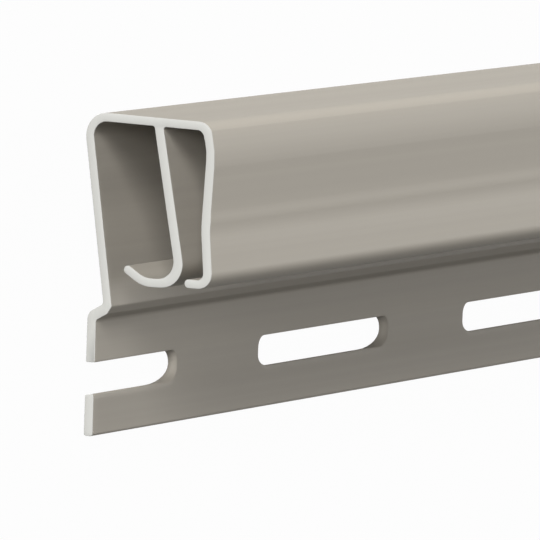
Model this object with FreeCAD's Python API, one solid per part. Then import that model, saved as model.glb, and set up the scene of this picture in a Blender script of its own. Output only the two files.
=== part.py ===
# Undersill trim: one length of extruded vinyl siding trim, cut square at both ends.
#
# It lies on its back, as it is stored, on the tip of its nailing flange and its top back corner.
# X runs along its length, Y up the section as the trim is nailed to a wall, and Z away from the
# wall, which is upwards as it lies. The origin is at the middle of the length and of the height,
# on the plane that the trim rests on.
#
# From the nailing flange the wall of the profile jogs forward, climbs as the back wall, turns over
# the top and comes down as the kinked front wall, which ends in a lip turned inwards. A leg hangs
# from the top wall inside and ends in a J-shaped hook. A row of nail slots is punched through the
# flange. Heights below are measured up from the flange's tip, and depths out from the rest plane.

import FreeCAD
import Part
import math
import os

# Stock length and overall section, in millimetres
LENGTH = 3048.0
SECTION_HEIGHT = 36.15

# Nailing flange, which toes off the rest plane by an angle in degrees
FLANGE_HEIGHT = 13.8
FLANGE_WALL = 1.1
FLANGE_TOE = 1.5
FLANGE_TIP_RADIUS = 0.3

# Jog from the flange out to the back wall
JOG_SLOPE = 28.0
JOG_WALL = 1.2
JOG_BACK_RADIUS = 1.2
JOG_CREASE_RADIUS = 0.5
JOG_HEEL_RADIUS = 0.6
JOG_NOSE_RADIUS = 0.45

# Back wall, leaning back to the rounded top corner
BACK_WALL = 1.0
BACK_LEAN = 7.3
BACK_CORNER_RADIUS = 2.6

# Top wall, drooping towards the front
TOP_WALL = 0.96
TOP_DROOP = 2.25

# Front wall, in two stretches that flare from a kink and a shoulder that leans back above them
FRONT_WALL = 1.08
FRONT_CORNER_RADIUS = 2.0
SHOULDER_DROP = 3.85
SHOULDER_LEAN = 9.0
SHOULDER_RADIUS = 3.0
KINK_HEIGHT = 24.3
KINK_DEPTH = 15.82
KINK_RADIUS = 5.0
UPPER_FLARE = 4.2
LOWER_FLARE = 3.0

# Lip under the front wall
LIP_WALL = 0.95
LIP_HEIGHT = 17.05
LIP_RISE = 2.0
LIP_REACH = 3.55
LIP_CORNER_RADIUS = 1.7

# Leg inside the box, whose foot is set back from the front face at the kink
LEG_WALL = 1.1
LEG_SETBACK = 2.92
LEG_LEAN = 9.8
LEG_ROOT_RADIUS = 0.3

# Hook at the leg's foot, whose curl leaves a mouth for a panel's edge at the back wall
HOOK_WALL = 0.96
HOOK_HEIGHT = 17.05
HOOK_WIDTH = 5.6
HOOK_BEND_RADIUS = 2.7
HOOK_INNER_BEND_RADIUS = 2.0
HOOK_CURL_ANGLE = 33.0
HOOK_CURL_RADIUS = 3.9
HOOK_CURL_LENGTH = 3.0

# Nail slots, punched at one pitch before the trim is cut to length through a slot
SLOT_PITCH = 50.8
SLOT_LENGTH = 31.75
SLOT_HEIGHT = 3.6
SLOT_CENTRE_HEIGHT = 6.4
CUT_SLOT_LEFT = 19.0


def line(up, out, angle):
    """A line through a point of the section. Its angle turns from up (0) towards out (90)."""
    turn = math.radians(angle)
    return (up, out, math.cos(turn), math.sin(turn))


def shifted(face, distance):
    """The line moved sideways, to the right of its own direction."""
    up, out, along_up, along_out = face
    return (up - along_out * distance, out + along_up * distance, along_up, along_out)


def meet(first, second):
    """The point where two lines of the section cross."""
    up_1, out_1, along_up_1, along_out_1 = first
    up_2, out_2, along_up_2, along_out_2 = second
    cross = along_up_1 * along_out_2 - along_out_1 * along_up_2
    reach = ((up_2 - up_1) * along_out_2 - (out_2 - out_1) * along_up_2) / cross
    return (up_1 + along_up_1 * reach, out_1 + along_out_1 * reach)


def onward(face, point, distance):
    """The point reached from another by going along a line's direction."""
    return (point[0] + face[2] * distance, point[1] + face[3] * distance)


def across(face, point):
    """The line through a point, square to another line."""
    return (point[0], point[1], -face[3], face[2])


def tangent(up, out, radius, angle):
    """The line that touches a circle and keeps its middle on the right."""
    middle = line(up, out, angle)
    return shifted(middle, -radius)


def profile_faces():
    """The two faces of every wall, the outer one first, as lines with the wall on their right."""
    flange = line(0.0, 0.0, FLANGE_TOE)
    jog_start = meet(flange, line(FLANGE_HEIGHT, 0.0, 90.0))
    jog = line(*jog_start, 90.0 - JOG_SLOPE)
    corner_height = SECTION_HEIGHT - BACK_CORNER_RADIUS
    back = tangent(corner_height, BACK_CORNER_RADIUS, BACK_CORNER_RADIUS, -BACK_LEAN)
    top = tangent(corner_height, BACK_CORNER_RADIUS, BACK_CORNER_RADIUS, 90.0 + TOP_DROOP)
    upper = line(KINK_HEIGHT, KINK_DEPTH, 180.0 + UPPER_FLARE)
    lower = line(KINK_HEIGHT, KINK_DEPTH, 180.0 - LOWER_FLARE)
    shoulder_start = meet(upper, line(SECTION_HEIGHT - SHOULDER_DROP, 0.0, 90.0))
    shoulder = line(*shoulder_start, 180.0 - SHOULDER_LEAN)
    lip = line(LIP_HEIGHT, KINK_DEPTH, 270.0 + LIP_RISE)
    leg = line(HOOK_HEIGHT, KINK_DEPTH - LEG_SETBACK, 180.0 - LEG_LEAN)
    hook = line(HOOK_HEIGHT, KINK_DEPTH, 270.0)
    curl = line(*onward(hook, meet(leg, hook), HOOK_WIDTH), 270.0 + HOOK_CURL_ANGLE)
    walls = {
        "flange": (flange, FLANGE_WALL),
        "jog": (jog, JOG_WALL),
        "back": (back, BACK_WALL),
        "top": (top, TOP_WALL),
        "shoulder": (shoulder, FRONT_WALL),
        "upper": (upper, FRONT_WALL),
        "lower": (lower, FRONT_WALL),
        "lip": (lip, LIP_WALL),
        "leg": (leg, LEG_WALL),
        "hook": (hook, HOOK_WALL),
        "curl": (curl, HOOK_WALL),
    }
    return {name: (outer, shifted(outer, wall)) for name, (outer, wall) in walls.items()}


def free_edge(faces, point, wall):
    """The two corners of a wall's free end, which meet in one full round."""
    end = across(faces[0], point)
    return [(*meet(face, end), wall / 2) for face in faces]


def section_corners():
    """Every corner of the section as (up, out, radius), clockwise with the trim upright."""
    faces = profile_faces()
    flange, jog, back, top = faces["flange"], faces["jog"], faces["back"], faces["top"]
    shoulder, upper, lower = faces["shoulder"], faces["upper"], faces["lower"]
    lip, leg, hook, curl = faces["lip"], faces["leg"], faces["hook"], faces["curl"]
    flange_end = line(0.0, 0.0, 90.0)
    lip_end = onward(lip[0], meet(lower[0], lip[0]), LIP_REACH)
    curl_end = onward(curl[0], meet(hook[0], curl[0]), HOOK_CURL_LENGTH)
    return [
        (*meet(flange[0], flange_end), FLANGE_TIP_RADIUS),
        (*meet(flange[0], jog[0]), JOG_BACK_RADIUS),
        (*meet(jog[0], back[0]), JOG_HEEL_RADIUS),
        (*meet(back[0], top[0]), BACK_CORNER_RADIUS),
        (*meet(top[0], shoulder[0]), FRONT_CORNER_RADIUS),
        (*meet(shoulder[0], upper[0]), SHOULDER_RADIUS),
        (*meet(upper[0], lower[0]), KINK_RADIUS),
        (*meet(lower[0], lip[0]), LIP_CORNER_RADIUS),
        *free_edge(lip, lip_end, LIP_WALL),
        (*meet(lip[1], lower[1]), LIP_CORNER_RADIUS - LIP_WALL),
        (*meet(lower[1], upper[1]), KINK_RADIUS + FRONT_WALL),
        (*meet(upper[1], shoulder[1]), SHOULDER_RADIUS - FRONT_WALL),
        (*meet(shoulder[1], top[1]), FRONT_CORNER_RADIUS - TOP_WALL),
        (*meet(top[1], leg[0]), LEG_ROOT_RADIUS),
        (*meet(leg[0], hook[0]), HOOK_BEND_RADIUS),
        (*meet(hook[0], curl[0]), HOOK_CURL_RADIUS),
        *free_edge(curl, curl_end, HOOK_WALL),
        (*meet(curl[1], hook[1]), HOOK_CURL_RADIUS - HOOK_WALL),
        (*meet(hook[1], leg[1]), HOOK_INNER_BEND_RADIUS),
        (*meet(leg[1], top[1]), LEG_ROOT_RADIUS),
        (*meet(top[1], back[1]), BACK_CORNER_RADIUS - BACK_WALL),
        (*meet(back[1], jog[1]), JOG_NOSE_RADIUS),
        (*meet(jog[1], flange[1]), JOG_CREASE_RADIUS),
        (*meet(flange[1], flange_end), FLANGE_TIP_RADIUS),
    ]


def rounded_face(points, radii):
    """A face inside straight runs, with an arc of its own radius at each point between them."""
    arcs = []
    for index, (corner, radius) in enumerate(zip(points, radii)):
        backward = (points[index - 1] - corner).normalize()
        forward = (points[(index + 1) % len(points)] - corner).normalize()
        half_turn = (math.pi - backward.getAngle(forward)) / 2
        reach = radius * math.tan(half_turn)
        inset = radius / math.cos(half_turn) - radius
        middle = corner + (backward + forward).normalize() * inset
        arcs.append((corner + backward * reach, middle, corner + forward * reach))
    edges = []
    for index, arc in enumerate(arcs):
        run_start, run_end = arcs[index - 1][-1], arc[0]
        if not run_start.isEqual(run_end, 1e-6):
            edges.append(Part.LineSegment(run_start, run_end).toShape())
        edges.append(Part.Arc(*arc).toShape())
    return Part.Face(Part.Wire(edges))


def extruded_profile():
    """The section drawn at the low end of X and extruded over the whole length."""
    corners = section_corners()
    points = [
        FreeCAD.Vector(-LENGTH / 2, up - SECTION_HEIGHT / 2, out) for up, out, radius in corners
    ]
    radii = [radius for up, out, radius in corners]
    return rounded_face(points, radii).extrude(FreeCAD.Vector(LENGTH, 0, 0))


def slot_punch(middle_x):
    """The round-ended punch of one nail slot, square to the rest plane."""
    radius = SLOT_HEIGHT / 2
    start = FreeCAD.Vector(middle_x, SLOT_CENTRE_HEIGHT - SECTION_HEIGHT / 2, -FLANGE_WALL)
    straight = FreeCAD.Vector((SLOT_LENGTH - SLOT_HEIGHT) / 2, 0, 0)
    side = FreeCAD.Vector(0, radius, 0)
    tip = FreeCAD.Vector(SLOT_LENGTH / 2, 0, 0)
    top_low, top_high = start - straight + side, start + straight + side
    bottom_low, bottom_high = start - straight - side, start + straight - side
    outline = Part.Wire([
        Part.LineSegment(top_low, top_high).toShape(),
        Part.Arc(top_high, start + tip, bottom_high).toShape(),
        Part.LineSegment(bottom_high, bottom_low).toShape(),
        Part.Arc(bottom_low, start - tip, top_low).toShape(),
    ])
    toe_depth = FLANGE_HEIGHT * math.tan(math.radians(FLANGE_TOE))
    return Part.Face(outline).extrude(FreeCAD.Vector(0, 0, toe_depth + 3 * FLANGE_WALL))


def slot_places():
    """The middles of the slots along X, from the slot that the cut at low X leaves part of."""
    low_end = -LENGTH / 2
    places = [low_end + CUT_SLOT_LEFT - SLOT_LENGTH / 2]
    while places[-1] + SLOT_PITCH - SLOT_LENGTH / 2 < low_end + LENGTH:
        places.append(places[-1] + SLOT_PITCH)
    return places


os.makedirs("parts", exist_ok=True)
punches = Part.makeCompound([slot_punch(place) for place in slot_places()])
undersill_trim = extruded_profile().cut(punches).Solids[0]
undersill_trim.exportStep("parts/undersill_trim.step")
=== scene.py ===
import math

import bmesh
import bpy
from mathutils import Matrix, Vector


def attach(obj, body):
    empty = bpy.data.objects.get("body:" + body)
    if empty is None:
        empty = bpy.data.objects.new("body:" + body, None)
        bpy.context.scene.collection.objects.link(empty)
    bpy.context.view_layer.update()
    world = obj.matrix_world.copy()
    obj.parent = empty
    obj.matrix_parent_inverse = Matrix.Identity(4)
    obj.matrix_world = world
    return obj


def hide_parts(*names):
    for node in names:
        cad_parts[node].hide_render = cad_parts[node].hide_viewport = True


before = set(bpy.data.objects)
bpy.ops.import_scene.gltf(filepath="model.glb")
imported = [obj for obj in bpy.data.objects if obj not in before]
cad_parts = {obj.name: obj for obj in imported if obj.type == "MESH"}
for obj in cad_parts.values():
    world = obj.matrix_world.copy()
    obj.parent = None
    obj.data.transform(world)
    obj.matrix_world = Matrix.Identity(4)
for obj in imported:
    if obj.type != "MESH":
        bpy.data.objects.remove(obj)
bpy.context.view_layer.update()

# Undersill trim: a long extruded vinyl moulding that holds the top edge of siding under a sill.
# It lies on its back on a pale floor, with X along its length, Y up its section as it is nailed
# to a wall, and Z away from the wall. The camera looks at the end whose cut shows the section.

# Camera
# A long lens close to one end, level with the middle of the section and well out in front of it,
# turned so that the trim stands upright in the picture as it does on a wall.
camera_place = Vector((-2.42887, 0.09149, 0.51715))
camera_aim = Vector((-1.495593, -0.001174, 0.007947))
camera_roll = math.radians(-0.573)
camera_look = (camera_aim - camera_place).normalized()
camera_side = camera_look.cross(Vector((0.0, 1.0, 0.0))).normalized()
camera_top = camera_side.cross(camera_look)
camera_turn = Matrix((camera_side, camera_top, -camera_look)).transposed().to_4x4()
camera_roll_turn = Matrix.Rotation(camera_roll, 4, camera_look)
camera_data = bpy.data.cameras.new("end_view")
camera_data.sensor_width = 36.0
camera_data.lens = 627.2
camera_data.clip_start = 0.01
camera_data.clip_end = 500.0
camera = bpy.data.objects.new("end_view", camera_data)
camera.matrix_world = Matrix.Translation(camera_place) @ camera_roll_turn @ camera_turn
bpy.context.scene.collection.objects.link(camera)
bpy.context.scene.camera = camera

# The trim
# One length of rigid vinyl pushed through a die, so that its section is the same all along: a
# nailing flange, a jog, the box of back, top and front walls, an inturned lip and a hooked leg.
MM = 0.001
TRIM_LENGTH = 3048.0 * MM
SECTION_HEIGHT = 36.15 * MM

FLANGE_HEIGHT = 13.8 * MM
FLANGE_WALL = 1.1 * MM
FLANGE_TOE = 1.5
FLANGE_TIP_RADIUS = 0.3 * MM

JOG_SLOPE = 28.0
JOG_WALL = 1.2 * MM
JOG_BACK_RADIUS = 1.2 * MM
JOG_CREASE_RADIUS = 0.5 * MM
JOG_HEEL_RADIUS = 0.6 * MM
# The nose is a small flat between the back wall's foot and the jog's front face.
JOG_NOSE_HEIGHT = 14.6 * MM
JOG_NOSE_LEAN = 34.0
JOG_NOSE_RADIUS = 0.4 * MM

BACK_WALL = 1.0 * MM
BACK_LEAN = 7.3
BACK_CORNER_RADIUS = 2.6 * MM

TOP_WALL = 0.96 * MM
TOP_DROOP = 2.25

# From the top corner down, the front wall has a brow, a shoulder, the upper wall, a faint swell and
# dip, the kink, and a lower wall that flares out to the lip.
FRONT_WALL = 1.08 * MM
FRONT_CORNER_RADIUS = 1.8 * MM
FRONT_INNER_CORNER_RADIUS = 0.9 * MM
BROW_DROP = 1.43 * MM
BROW_LEAN = 35.0
BROW_RADIUS = 0.2 * MM
SHOULDER_DROP = 3.6 * MM
SHOULDER_LEAN = 13.5
SHOULDER_RADIUS = 12.0 * MM
SHOULDER_INNER_RADIUS = 6.0 * MM
KINK_HEIGHT = 23.83 * MM
KINK_DEPTH = 15.786 * MM
KINK_RADIUS = 9.0 * MM
SWELL_HEIGHT = 25.7 * MM
SWELL_FLARE = 1.0
SWELL_RADIUS = 7.0 * MM
DIP_HEIGHT = 24.55 * MM
DIP_FLARE = 5.4
UPPER_FLARE = 4.2
LOWER_FLARE = 3.5

LIP_WALL = 0.95 * MM
LIP_HEIGHT = 17.1 * MM
LIP_RISE = 2.0
LIP_REACH = 3.55 * MM
LIP_CORNER_RADIUS = 1.7 * MM

LEG_WALL = 1.1 * MM
LEG_SETBACK = 2.886 * MM
LEG_LEAN = 9.8
LEG_ROOT_RADIUS = 0.3 * MM

HOOK_WALL = 0.96 * MM
HOOK_HEIGHT = 17.05 * MM
HOOK_WIDTH = 5.6 * MM
HOOK_BEND_RADIUS = 2.7 * MM
HOOK_INNER_BEND_RADIUS = 2.0 * MM
HOOK_CURL_ANGLE = 33.0
HOOK_CURL_RADIUS = 3.9 * MM
HOOK_CURL_LENGTH = 3.0 * MM

ARC_STEP = math.radians(9.0)
FLAT_MARGIN = 0.12 * MM
SHORTEST_FLAT = 0.3 * MM
SAME_PLACE = 0.001 * MM


def section_line(up, out, angle):
    """A wall face of the section: a point, and a direction that turns from up (0) to out (90)."""
    turn = math.radians(angle)
    return Vector((up, out)), Vector((math.cos(turn), math.sin(turn)))


def beside(face, distance):
    """The face moved sideways, to the right of its own direction."""
    point, along = face
    return point + Vector((-along.y, along.x)) * distance, along


def crossing(first, second):
    """The corner where two faces of the section meet."""
    (start, along), (other_start, other_along) = first, second
    gap = other_start - start
    reach = (gap.x * other_along.y - gap.y * other_along.x) / along.cross(other_along)
    return start + along * reach


def further(face, point, distance):
    """The point that lies further along a face."""
    return point + face[1] * distance


def touching(up, out, radius, angle):
    """The face that touches a rounded corner from outside, given the middle of its arc."""
    return beside(section_line(up, out, angle), -radius)


def wall_end(faces, point, wall):
    """The two corners of a wall's free edge, which meet in one full round."""
    end = (point, Vector((-faces[0][1].y, faces[0][1].x)))
    return [(crossing(face, end), wall / 2) for face in faces]


def wall_faces():
    """The outer and the inner face of every wall of the section."""
    flange = section_line(0.0, 0.0, FLANGE_TOE)
    jog_start = crossing(flange, section_line(FLANGE_HEIGHT, 0.0, 90.0))
    jog = section_line(*jog_start, 90.0 - JOG_SLOPE)
    corner_height = SECTION_HEIGHT - BACK_CORNER_RADIUS
    corner_middle = (corner_height, BACK_CORNER_RADIUS, BACK_CORNER_RADIUS)
    back = touching(*corner_middle, -BACK_LEAN)
    top = touching(*corner_middle, 90.0 + TOP_DROOP)
    upper = section_line(KINK_HEIGHT, KINK_DEPTH, 180.0 + UPPER_FLARE)
    lower = section_line(KINK_HEIGHT, KINK_DEPTH, 180.0 - LOWER_FLARE)
    shoulder_start = crossing(upper, section_line(SECTION_HEIGHT - SHOULDER_DROP, 0.0, 90.0))
    shoulder = section_line(*shoulder_start, 180.0 - SHOULDER_LEAN)
    brow_end = crossing(shoulder, section_line(SECTION_HEIGHT - BROW_DROP, 0.0, 90.0))
    brow = section_line(*brow_end, 180.0 - BROW_LEAN)
    swell_start = crossing(upper, section_line(SWELL_HEIGHT, 0.0, 90.0))
    swell = section_line(*swell_start, 180.0 + SWELL_FLARE)
    dip_start = crossing(swell, section_line(DIP_HEIGHT, 0.0, 90.0))
    dip = section_line(*dip_start, 180.0 + DIP_FLARE)
    lip = section_line(LIP_HEIGHT, KINK_DEPTH, 270.0 + LIP_RISE)
    leg = section_line(HOOK_HEIGHT, KINK_DEPTH - LEG_SETBACK, 180.0 - LEG_LEAN)
    hook = section_line(HOOK_HEIGHT, KINK_DEPTH, 270.0)
    curl_start = further(hook, crossing(leg, hook), HOOK_WIDTH)
    curl = section_line(*curl_start, 270.0 + HOOK_CURL_ANGLE)
    walls = {
        "flange": (flange, FLANGE_WALL),
        "jog": (jog, JOG_WALL),
        "back": (back, BACK_WALL),
        "top": (top, TOP_WALL),
        "brow": (brow, FRONT_WALL),
        "shoulder": (shoulder, FRONT_WALL),
        "upper": (upper, FRONT_WALL),
        "swell": (swell, FRONT_WALL),
        "dip": (dip, FRONT_WALL),
        "lower": (lower, FRONT_WALL),
        "lip": (lip, LIP_WALL),
        "leg": (leg, LEG_WALL),
        "hook": (hook, HOOK_WALL),
        "curl": (curl, HOOK_WALL),
    }
    return {name: (outer, beside(outer, wall)) for name, (outer, wall) in walls.items()}


def section_corners(faces):
    """Every corner of the section with its radius, from the flange's tip round and back to it."""
    flange, jog, back, top = faces["flange"], faces["jog"], faces["back"], faces["top"]
    brow, shoulder, upper = faces["brow"], faces["shoulder"], faces["upper"]
    swell, dip, lower = faces["swell"], faces["dip"], faces["lower"]
    lip, leg, hook, curl = faces["lip"], faces["leg"], faces["hook"], faces["curl"]
    flange_end = section_line(0.0, 0.0, 90.0)
    nose_start = crossing(back[1], section_line(JOG_NOSE_HEIGHT, 0.0, 90.0))
    nose = section_line(*nose_start, 180.0 + JOG_NOSE_LEAN)
    lip_end = further(lip[0], crossing(lower[0], lip[0]), LIP_REACH)
    curl_end = further(curl[0], crossing(hook[0], curl[0]), HOOK_CURL_LENGTH)
    return [
        (crossing(flange[0], flange_end), FLANGE_TIP_RADIUS),
        (crossing(flange[0], jog[0]), JOG_BACK_RADIUS),
        (crossing(jog[0], back[0]), JOG_HEEL_RADIUS),
        (crossing(back[0], top[0]), BACK_CORNER_RADIUS),
        (crossing(top[0], brow[0]), FRONT_CORNER_RADIUS),
        (crossing(brow[0], shoulder[0]), BROW_RADIUS),
        (crossing(shoulder[0], upper[0]), SHOULDER_RADIUS),
        (crossing(upper[0], swell[0]), SWELL_RADIUS),
        (crossing(swell[0], dip[0]), SWELL_RADIUS),
        (crossing(dip[0], lower[0]), KINK_RADIUS),
        (crossing(lower[0], lip[0]), LIP_CORNER_RADIUS),
        *wall_end(lip, lip_end, LIP_WALL),
        (crossing(lip[1], lower[1]), LIP_CORNER_RADIUS - LIP_WALL),
        (crossing(lower[1], upper[1]), KINK_RADIUS + FRONT_WALL),
        (crossing(upper[1], shoulder[1]), SHOULDER_INNER_RADIUS),
        (crossing(shoulder[1], top[1]), FRONT_INNER_CORNER_RADIUS),
        (crossing(top[1], leg[0]), LEG_ROOT_RADIUS),
        (crossing(leg[0], hook[0]), HOOK_BEND_RADIUS),
        (crossing(hook[0], curl[0]), HOOK_CURL_RADIUS),
        *wall_end(curl, curl_end, HOOK_WALL),
        (crossing(curl[1], hook[1]), HOOK_CURL_RADIUS - HOOK_WALL),
        (crossing(hook[1], leg[1]), HOOK_INNER_BEND_RADIUS),
        (crossing(leg[1], top[1]), LEG_ROOT_RADIUS),
        (crossing(top[1], back[1]), BACK_CORNER_RADIUS - BACK_WALL),
        (crossing(back[1], nose), JOG_NOSE_RADIUS),
        (crossing(nose, jog[1]), JOG_NOSE_RADIUS),
        (crossing(jog[1], flange[1]), JOG_CREASE_RADIUS),
        (crossing(flange[1], flange_end), FLANGE_TIP_RADIUS),
    ]


def rounded_corner(before, corner, after, radius):
    """The arc of one corner, with a point on the flat just before and just after it."""
    backward, forward = (before - corner).normalized(), (after - corner).normalized()
    half_turn = (math.pi - backward.angle(forward)) / 2
    reach = radius * math.tan(half_turn)
    middle = corner + (backward + forward).normalized() * (radius / math.cos(half_turn))
    start, end = corner + backward * reach - middle, corner + forward * reach - middle
    steps = max(2, math.ceil(2 * half_turn / ARC_STEP))
    turn = -start.angle_signed(end) / steps
    arc = [middle + Matrix.Rotation(turn * step, 2) @ start for step in range(steps + 1)]
    return [arc[0] + backward * FLAT_MARGIN, *arc, arc[-1] + forward * FLAT_MARGIN]


def section_arcs(corners):
    """One list of points a corner. Where two arcs meet with no flat between, its points go."""
    places = [corner for corner, radius in corners]
    arcs = []
    for index, (corner, radius) in enumerate(corners):
        after = places[(index + 1) % len(places)]
        arcs.append(rounded_corner(places[index - 1], corner, after, radius))
    for index, arc in enumerate(arcs):
        previous = arcs[index - 1]
        if (arc[1] - previous[-2]).length < SHORTEST_FLAT:
            del arc[0]
            del previous[-1]
            if (arc[0] - previous[-1]).length < SAME_PLACE:
                del previous[-1]
    return arcs


# Nail slots
# A press punches them through the flange at an even pitch before the trim is cut to length. The
# punch draws the lower edge down with it, and most of all one corner, which keeps a long slope.
SLOT_PITCH = 50.8 * MM
SLOT_LENGTH = 31.75 * MM
SLOT_HEIGHT = 3.7 * MM
SLOT_CENTRE_HEIGHT = 6.43 * MM
CUT_SLOT_LEFT = 19.0 * MM
SLOT_CORNER = (1.3 * MM, 1.3 * MM)
SLOT_LOW_CORNER = (2.2 * MM, 1.5 * MM)
SLOT_BACK_UPPER_CORNER = (1.65 * MM, 1.65 * MM)
SLOT_FRONT_DRAWN_CORNER = (1.7 * MM, 1.6 * MM)
SLOT_BACK_DRAWN_CORNER = (5.2 * MM, 2.0 * MM)
SLOT_FRONT_DRAFT = 0.12 * MM
SLOT_BACK_DRAFT = 0.27 * MM
SLOT_UPPER_ROLL = 0.18 * MM
SLOT_LOWER_ROLL = 0.75 * MM
SLOT_LOWER_RISE = 0.17 * MM
SLOT_ROLL_DEPTH = 0.45
SLOT_ROLL_TURN = math.radians(50.0)
SLOT_BACK_ROLL = 0.06 * MM
# How narrowly the roll keeps to the bottom of the slot's edge, on its drawn and its plain side.
SLOT_DRAWN_POWER = 2
SLOT_PLAIN_POWER = 8
SLOT_CORNER_STEPS = 7
SLOT_ROLL_STEPS = 4


def slot_rim(upper_corner, drawn_corner, draft):
    """Places (along, up) round a slot's edge, each with the direction that leads out of the slot."""
    corners = (
        (1, 1, upper_corner),
        (1, -1, drawn_corner),
        (-1, -1, SLOT_LOW_CORNER),
        (-1, 1, SLOT_CORNER),
    )
    rim = []
    for side, rise, (reach, height) in corners:
        end = SLOT_LENGTH / 2 - (draft if side > 0 else 0.0)
        for step in range(SLOT_CORNER_STEPS + 1):
            turn = math.pi / 2 * step / SLOT_CORNER_STEPS
            if side != rise:
                turn = math.pi / 2 - turn
            out = Vector((side * math.sin(turn), rise * math.cos(turn)))
            along = side * (end - reach) + reach * out.x
            up = SLOT_CENTRE_HEIGHT + rise * (SLOT_HEIGHT / 2 - height) + height * out.y
            rim.append((Vector((along, up)), out))
    return rim


def slot_rings(front, back):
    """The slot's edge from the flat of the flange's front face down to the flat of its back."""
    def on_face(face, place, drop=0.0):
        return place.x, place.y, face[0].y + (place.y - face[0].x) * face[1].y / face[1].x - drop

    front_rim = slot_rim(SLOT_CORNER, SLOT_FRONT_DRAWN_CORNER, SLOT_FRONT_DRAFT)
    back_rim = slot_rim(SLOT_BACK_UPPER_CORNER, SLOT_BACK_DRAWN_CORNER, SLOT_BACK_DRAFT)
    rolls = []
    for place, out in front_rim:
        downward = max(0.0, -out.y)
        share = downward ** (SLOT_DRAWN_POWER if place.x > 0 else SLOT_PLAIN_POWER)
        rolls.append(SLOT_UPPER_ROLL + (SLOT_LOWER_ROLL - SLOT_UPPER_ROLL) * share)
        place.y += SLOT_LOWER_RISE * downward
    edge = list(zip(front_rim, rolls))
    rings = [[on_face(front, place + out * (roll + FLAT_MARGIN)) for (place, out), roll in edge]]
    for step in range(SLOT_ROLL_STEPS + 1):
        turn = SLOT_ROLL_TURN * step / SLOT_ROLL_STEPS
        left = 1 - math.sin(turn) / math.sin(SLOT_ROLL_TURN)
        ring = []
        for (place, out), roll in edge:
            drop = roll * SLOT_ROLL_DEPTH * (1 - math.cos(turn))
            ring.append(on_face(front, place + out * roll * left, drop))
        rings.append(ring)
    rings.append([on_face(back, place, -SLOT_BACK_ROLL) for place, out in back_rim])
    for reach in (SLOT_BACK_ROLL, SLOT_BACK_ROLL + FLAT_MARGIN):
        rings.append([on_face(back, place + out * reach) for place, out in back_rim])
    return rings


def one_pitch_of_trim():
    """The trim from halfway between two slots to halfway to the next, open at both ends."""
    faces = wall_faces()
    arcs = section_arcs(section_corners(faces))
    outline = [point for arc in arcs for point in arc]
    back_flat = len(arcs[0]) - 1
    front_flat = len(outline) - len(arcs[-1]) - 1
    mesh = bmesh.new()
    rows = []
    for x in (-SLOT_PITCH / 2, SLOT_PITCH / 2):
        rows.append([mesh.verts.new((x, up - SECTION_HEIGHT / 2, out)) for up, out in outline])
    low, high = rows
    for index in range(len(outline)):
        after = (index + 1) % len(outline)
        if index not in (back_flat, front_flat):
            mesh.faces.new((low[index], low[after], high[after], high[index]))
    rings = []
    for ring in slot_rings(faces["flange"][1], faces["flange"][0]):
        rings.append([mesh.verts.new((x, up - SECTION_HEIGHT / 2, out)) for x, up, out in ring])
    for ring, next_ring in zip(rings, rings[1:]):
        for index in range(len(ring)):
            after = (index + 1) % len(ring)
            mesh.faces.new((ring[index], ring[after], next_ring[after], next_ring[index]))
    for flat, ring in ((front_flat, rings[0]), (back_flat, rings[-1])):
        edges = [mesh.edges.new((row[flat], row[flat + 1])) for row in rows]
        edges += [mesh.edges.get((low[index], high[index])) for index in (flat, flat + 1)]
        edges += [mesh.edges.get((ring[index - 1], ring[index])) for index in range(len(ring))]
        bmesh.ops.triangle_fill(mesh, use_beauty=True, edges=edges)
    bmesh.ops.recalc_face_normals(mesh, faces=mesh.faces)
    pitch = bpy.data.meshes.new("one_pitch_of_trim")
    mesh.to_mesh(pitch)
    mesh.free()
    return pitch


# Vinyl finishes
# The skin is a warm grey cap layer with the faint lengthwise draw lines of its die. The square
# cut ends show the paler vinyl of the core, with the fine scratches of the saw.
SKIN_COLOUR = (0.366, 0.339, 0.295, 1.0)
CORE_COLOUR = (0.413, 0.412, 0.391, 1.0)
VINYL_IOR = 1.5
VINYL_SPECULAR = 0.012
DRAW_START = 7.4
NOISE_BAND = (0.25, 0.75)
BROAD_STRETCH = 0.22
FINE_SHARE = 0.6
GRAIN_SCALE = (2600.0, 2600.0, 2600.0)
SKIN_LINES = (1.4, 950.0, 950.0)
SAW_LINES = (300.0, 260.0, 2400.0)


def value_band(nodes, links, source, low, high):
    """A noise value brought into a band."""
    band = nodes.new("ShaderNodeMapRange")
    band.inputs["From Min"].default_value = NOISE_BAND[0]
    band.inputs["From Max"].default_value = NOISE_BAND[1]
    band.inputs["To Min"].default_value = low
    band.inputs["To Max"].default_value = high
    links.new(source, band.inputs["Value"])
    return band.outputs["Result"]


def drawn_noise(nodes, links, stretch, detail, start=0.0):
    """Noise in the trim's own coordinates, stretched along its length or across it."""
    place = nodes.new("ShaderNodeTexCoord")
    mapping = nodes.new("ShaderNodeMapping")
    mapping.inputs["Location"].default_value = (start, start, start)
    mapping.inputs["Scale"].default_value = stretch
    noise = nodes.new("ShaderNodeTexNoise")
    noise.inputs["Scale"].default_value = 1.0
    noise.inputs["Detail"].default_value = detail
    links.new(place.outputs["Object"], mapping.inputs["Vector"])
    links.new(mapping.outputs["Vector"], noise.inputs["Vector"])
    return noise.outputs["Fac"]


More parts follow.
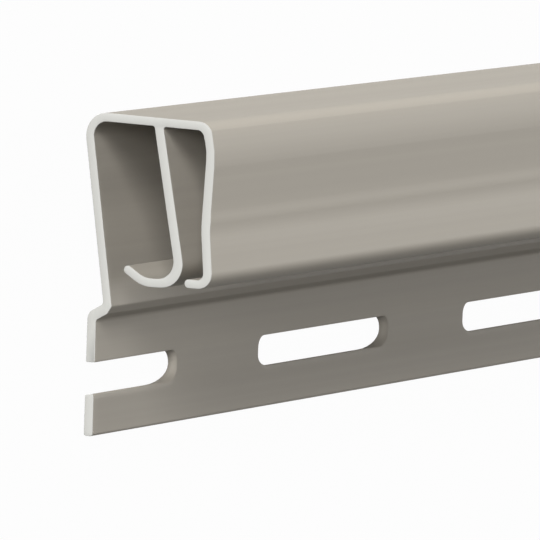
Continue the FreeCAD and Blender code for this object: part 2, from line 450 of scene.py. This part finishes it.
def vinyl(name, colour, roughness, lines, shade_swing, gloss_swing, line_depth, grain_depth):
    """A rigid vinyl whose colour, gloss and surface all follow fine lines drawn through it."""
    material = bpy.data.materials.new(name)
    material.use_nodes = True
    nodes, links = material.node_tree.nodes, material.node_tree.links
    nodes.clear()
    output = nodes.new("ShaderNodeOutputMaterial")
    shader = nodes.new("ShaderNodeBsdfPrincipled")
    shader.inputs["IOR"].default_value = VINYL_IOR
    shader.inputs["Specular IOR Level"].default_value = VINYL_SPECULAR
    links.new(shader.outputs["BSDF"], output.inputs["Surface"])
    broad_lines = [scale * BROAD_STRETCH for scale in lines]
    broad = drawn_noise(nodes, links, broad_lines, detail=1.0, start=DRAW_START)
    fine = drawn_noise(nodes, links, lines, detail=3.0, start=DRAW_START)
    grain = drawn_noise(nodes, links, GRAIN_SCALE, detail=2.0)

    both = nodes.new("ShaderNodeMath")
    both.operation = "ADD"
    broad_shade = value_band(nodes, links, broad, -shade_swing, shade_swing)
    fine_swing = shade_swing * FINE_SHARE
    fine_shade = value_band(nodes, links, fine, -fine_swing, fine_swing)
    links.new(broad_shade, both.inputs[0])
    links.new(fine_shade, both.inputs[1])
    lift = nodes.new("ShaderNodeMath")
    lift.operation = "ADD"
    lift.inputs[1].default_value = 1.0
    links.new(both.outputs["Value"], lift.inputs[0])
    tint = nodes.new("ShaderNodeMix")
    tint.data_type = "RGBA"
    tint.blend_type = "MULTIPLY"
    tint.inputs["Factor"].default_value = 1.0
    tint.inputs["A"].default_value = colour
    links.new(lift.outputs["Value"], tint.inputs["B"])
    links.new(tint.outputs["Result"], shader.inputs["Base Color"])

    gloss = value_band(nodes, links, fine, roughness - gloss_swing, roughness + gloss_swing)
    links.new(gloss, shader.inputs["Roughness"])

    line_bump = nodes.new("ShaderNodeBump")
    line_bump.inputs["Distance"].default_value = line_depth
    links.new(fine, line_bump.inputs["Height"])
    grain_bump = nodes.new("ShaderNodeBump")
    grain_bump.inputs["Distance"].default_value = grain_depth
    links.new(grain, grain_bump.inputs["Height"])
    links.new(line_bump.outputs["Normal"], grain_bump.inputs["Normal"])
    links.new(grain_bump.outputs["Normal"], shader.inputs["Normal"])
    return material


skin_vinyl = vinyl(
    "warm_grey_skin",
    SKIN_COLOUR,
    roughness=0.46,
    lines=SKIN_LINES,
    shade_swing=0.05,
    gloss_swing=0.05,
    line_depth=0.002 * MM,
    grain_depth=0.001 * MM,
)
core_vinyl = vinyl(
    "pale_cut_core",
    CORE_COLOUR,
    roughness=0.6,
    lines=SAW_LINES,
    shade_swing=0.015,
    gloss_swing=0.05,
    line_depth=0.008 * MM,
    grain_depth=0.003 * MM,
)


# The whole length
# The pitches follow one another along X, as the extrusion leaves the press, and a saw then cuts
# the trim square at both ends, through a slot at each. The cut edges are eased by a hair.
CUT_EASE = 0.07 * MM
CUT_EASE_STEPS = ((0.3, 0.7), (1.0, 1.0))
CUT_TOLERANCE = 0.0001 * MM
PITCH_JOIN = 0.002 * MM
TRIM_FINISHES = (skin_vinyl, core_vinyl)
CORE_INDEX = TRIM_FINISHES.index(core_vinyl)


def length_tree(material):
    """Sets one pitch of the trim end to end along X and makes the row one skin."""
    tree = bpy.data.node_groups.new("trim_by_the_pitch", "GeometryNodeTree")
    face = tree.interface
    face.new_socket("Geometry", in_out="INPUT", socket_type="NodeSocketGeometry")
    named = {}
    for name, kind in (
        ("Pitches", "NodeSocketInt"),
        ("Pitch", "NodeSocketFloat"),
        ("First Slot Middle", "NodeSocketFloat"),
    ):
        named[name] = face.new_socket(name, in_out="INPUT", socket_type=kind).identifier
    face.new_socket("Geometry", in_out="OUTPUT", socket_type="NodeSocketGeometry")
    nodes, links = tree.nodes, tree.links
    inputs = nodes.new("NodeGroupInput")
    outputs = nodes.new("NodeGroupOutput")
    first = nodes.new("ShaderNodeCombineXYZ")
    step = nodes.new("ShaderNodeCombineXYZ")
    row = nodes.new("GeometryNodeMeshLine")
    place = nodes.new("GeometryNodeInstanceOnPoints")
    join = nodes.new("GeometryNodeMergeByDistance")
    join.inputs["Distance"].default_value = PITCH_JOIN
    real = nodes.new("GeometryNodeRealizeInstances")
    finish = nodes.new("GeometryNodeSetMaterial")
    finish.inputs["Material"].default_value = material
    links.new(inputs.outputs["First Slot Middle"], first.inputs["X"])
    links.new(inputs.outputs["Pitch"], step.inputs["X"])
    links.new(inputs.outputs["Pitches"], row.inputs["Count"])
    links.new(first.outputs["Vector"], row.inputs["Start Location"])
    links.new(step.outputs["Vector"], row.inputs["Offset"])
    links.new(row.outputs["Mesh"], place.inputs["Points"])
    links.new(inputs.outputs["Geometry"], place.inputs["Instance"])
    links.new(place.outputs["Instances"], real.inputs["Geometry"])
    links.new(real.outputs["Geometry"], join.inputs["Geometry"])
    links.new(join.outputs["Geometry"], finish.inputs["Geometry"])
    links.new(finish.outputs["Geometry"], outputs.inputs["Geometry"])
    return tree, named


def eased_in(loop, distance):
    """The places (y, z) of a closed edge moved inwards, into the wall that it goes round."""
    area = sum(a.co.y * b.co.z - b.co.y * a.co.z for a, b in zip(loop, loop[1:] + loop[:1]))
    side = 1.0 if area > 0 else -1.0
    places = []
    for index, vert in enumerate(loop):
        before, here, after = loop[index - 1].co.yz, vert.co.yz, loop[(index + 1) % len(loop)].co.yz
        come, go = (here - before).normalized(), (after - here).normalized()
        inwards = Vector((-come.y, come.x)) + Vector((-go.y, go.x))
        places.append(here + inwards * (side * distance / (1.0 + come.dot(go))))
    return places


def edge_loops(edges):
    """Open edges in order, one list of vertices for each closed loop."""
    # A dict keeps the edges in their own order, where a set's order would change with each run.
    left = dict.fromkeys(edges)
    loops = []
    while left:
        edge = left.popitem()[0]
        loop = [edge.verts[0], edge.verts[1]]
        while True:
            onward = [e for e in loop[-1].link_edges if e in left]
            if not onward:
                break
            del left[onward[0]]
            loop.append(onward[0].other_vert(loop[-1]))
        loops.append(loop[:-1])
    return loops


def saw_square(mesh, x, towards):
    """Cuts the trim at x, eases the cut edge and closes it with a flat face of the core."""
    everything = mesh.verts[:] + mesh.edges[:] + mesh.faces[:]
    cut = bmesh.ops.bisect_plane(
        mesh,
        geom=everything,
        dist=CUT_TOLERANCE,
        plane_co=(x - towards * CUT_EASE, 0, 0),
        plane_no=(towards, 0, 0),
        clear_outer=True,
    )
    edges = [part for part in cut["geom_cut"] if isinstance(part, bmesh.types.BMEdge)]
    for loop in edge_loops(edges):
        ring = loop
        for inward, outward in CUT_EASE_STEPS:
            places = eased_in(loop, CUT_EASE * inward)
            ring_x = x - towards * CUT_EASE * (1 - outward)
            next_ring = [mesh.verts.new((ring_x, y, z)) for y, z in places]
            for index in range(len(ring)):
                around = (index + 1) % len(ring)
                corners = (ring[index], ring[around], next_ring[around], next_ring[index])
                mesh.faces.new(corners).material_index = CORE_INDEX
            ring = next_ring
        end = mesh.faces.new(ring)
        end.material_index = CORE_INDEX
        end.normal_update()
        bmesh.ops.triangulate(mesh, faces=[end])


first_slot_middle = -TRIM_LENGTH / 2 + CUT_SLOT_LEFT - SLOT_LENGTH / 2
pitches = math.ceil(TRIM_LENGTH / SLOT_PITCH) + 1
pitch_row = bpy.data.objects.new("pitch_row", one_pitch_of_trim())
bpy.context.scene.collection.objects.link(pitch_row)
row_maker = pitch_row.modifiers.new("trim_by_the_pitch", "NODES")
row_maker.node_group, row_input = length_tree(skin_vinyl)
row_maker[row_input["Pitches"]] = pitches
row_maker[row_input["Pitch"]] = SLOT_PITCH
row_maker[row_input["First Slot Middle"]] = first_slot_middle
bpy.context.view_layer.update()
evaluated = pitch_row.evaluated_get(bpy.context.evaluated_depsgraph_get())
trim_mesh = bpy.data.meshes.new_from_object(evaluated)
trim_mesh.name = "trim_length"
trim_mesh.materials.clear()
for finish in TRIM_FINISHES:
    trim_mesh.materials.append(finish)
bpy.data.objects.remove(pitch_row)

cutting = bmesh.new()
cutting.from_mesh(trim_mesh)
for end_x, end_side in ((-TRIM_LENGTH / 2, -1), (TRIM_LENGTH / 2, 1)):
    saw_square(cutting, end_x, end_side)
bmesh.ops.recalc_face_normals(cutting, faces=cutting.faces)
for trim_face in cutting.faces:
    trim_face.smooth = True
for trim_edge in cutting.edges:
    between = {trim_face.material_index for trim_face in trim_edge.link_faces}
    trim_edge.smooth = len(between) == 1
cutting.to_mesh(trim_mesh)
cutting.free()
trim = bpy.data.objects.new("trim_length", trim_mesh)
bpy.context.scene.collection.objects.link(trim)
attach(trim, "root")
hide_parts("undersill_trim")

# Floor
# A plain white studio floor that the trim lies on. The camera sees it almost shadowless, as the
# photograph does, while the trim gets the light that a white floor gives back.
FLOOR_SIZE = 60.0
FLOOR_PAINT = (0.3, 0.3, 0.3, 1.0)
FLOOR_WHITE_SHARE = 0.975
floor_mesh = bpy.data.meshes.new("studio_floor")
floor_half = FLOOR_SIZE / 2
floor_corners = [(-floor_half, -floor_half, 0.0), (floor_half, -floor_half, 0.0)]
floor_corners += [(floor_half, floor_half, 0.0), (-floor_half, floor_half, 0.0)]
floor_mesh.from_pydata(floor_corners, [], [(0, 1, 2, 3)])
floor = bpy.data.objects.new("studio_floor", floor_mesh)
bpy.context.scene.collection.objects.link(floor)


def seen_rays(nodes, links, share):
    """A mix factor of this share for camera, mirror and glass rays, and of nothing for others."""
    path = nodes.new("ShaderNodeLightPath")
    mirror = nodes.new("ShaderNodeMath")
    mirror.operation = "MAXIMUM"
    glass = nodes.new("ShaderNodeMath")
    glass.operation = "MAXIMUM"
    part = nodes.new("ShaderNodeMath")
    part.operation = "MULTIPLY"
    part.inputs[1].default_value = share
    links.new(path.outputs["Is Camera Ray"], mirror.inputs[0])
    links.new(path.outputs["Is Glossy Ray"], mirror.inputs[1])
    links.new(mirror.outputs["Value"], glass.inputs[0])
    links.new(path.outputs["Is Transmission Ray"], glass.inputs[1])
    links.new(glass.outputs["Value"], part.inputs[0])
    return part.outputs["Value"]


floor_material = bpy.data.materials.new("studio_white")
floor_material.use_nodes = True
floor_nodes, floor_links = floor_material.node_tree.nodes, floor_material.node_tree.links
floor_nodes.clear()
floor_output = floor_nodes.new("ShaderNodeOutputMaterial")
floor_mix = floor_nodes.new("ShaderNodeMixShader")
floor_paint = floor_nodes.new("ShaderNodeBsdfDiffuse")
floor_paint.inputs["Color"].default_value = FLOOR_PAINT
floor_white = floor_nodes.new("ShaderNodeEmission")
floor_white.inputs["Strength"].default_value = 1.0
floor_seen = seen_rays(floor_nodes, floor_links, FLOOR_WHITE_SHARE)
floor_links.new(floor_seen, floor_mix.inputs["Fac"])
floor_links.new(floor_paint.outputs["BSDF"], floor_mix.inputs[1])
floor_links.new(floor_white.outputs["Emission"], floor_mix.inputs[2])
floor_links.new(floor_mix.outputs["Shader"], floor_output.inputs["Surface"])
floor_mesh.materials.append(floor_material)

# Light
# A dim white room and four soft lamps: one looks straight at the near end, a broad one shines
# down into it, a narrow one stands over the top and the front, and one grazes the front from the
# far end.
ROOM_LIGHT = 0.10
LAMPS = (
    ("end_lamp", (-0.961, 0.17, 0.215), 0.76, 22.0),
    ("high_end_lamp", (-0.743, 0.611, 0.272), 0.93, 30.0),
    ("top_lamp", (0.0, 0.834, 0.552), 0.325, 10.0),
    ("far_lamp", (0.883, 0.035, 0.469), 0.54, 14.0),
)

world = bpy.data.worlds.new("white_room")
bpy.context.scene.world = world
world.use_nodes = True
room_nodes, room_links = world.node_tree.nodes, world.node_tree.links
room_nodes.clear()
room_output = room_nodes.new("ShaderNodeOutputWorld")
room_mix = room_nodes.new("ShaderNodeMixShader")
room_dim = room_nodes.new("ShaderNodeBackground")
room_dim.inputs["Strength"].default_value = ROOM_LIGHT
room_white = room_nodes.new("ShaderNodeBackground")
room_white.inputs["Strength"].default_value = 1.0
for room_shade in (room_dim, room_white):
    room_shade.inputs["Color"].default_value = (1.0, 1.0, 1.0, 1.0)
room_links.new(seen_rays(room_nodes, room_links, 1.0), room_mix.inputs["Fac"])
room_links.new(room_dim.outputs["Background"], room_mix.inputs[1])
room_links.new(room_white.outputs["Background"], room_mix.inputs[2])
room_links.new(room_mix.outputs["Shader"], room_output.inputs["Surface"])

for lamp_name, lamp_from, lamp_level, lamp_width in LAMPS:
    lamp_data = bpy.data.lights.new(lamp_name, "SUN")
    lamp_data.energy = lamp_level * math.pi
    lamp_data.angle = math.radians(lamp_width)
    lamp = bpy.data.objects.new(lamp_name, lamp_data)
    lamp.rotation_euler = (-Vector(lamp_from)).to_track_quat("-Z", "Y").to_euler()
    bpy.context.scene.collection.objects.link(lamp)

bpy.context.scene.view_settings.view_transform = "Standard"
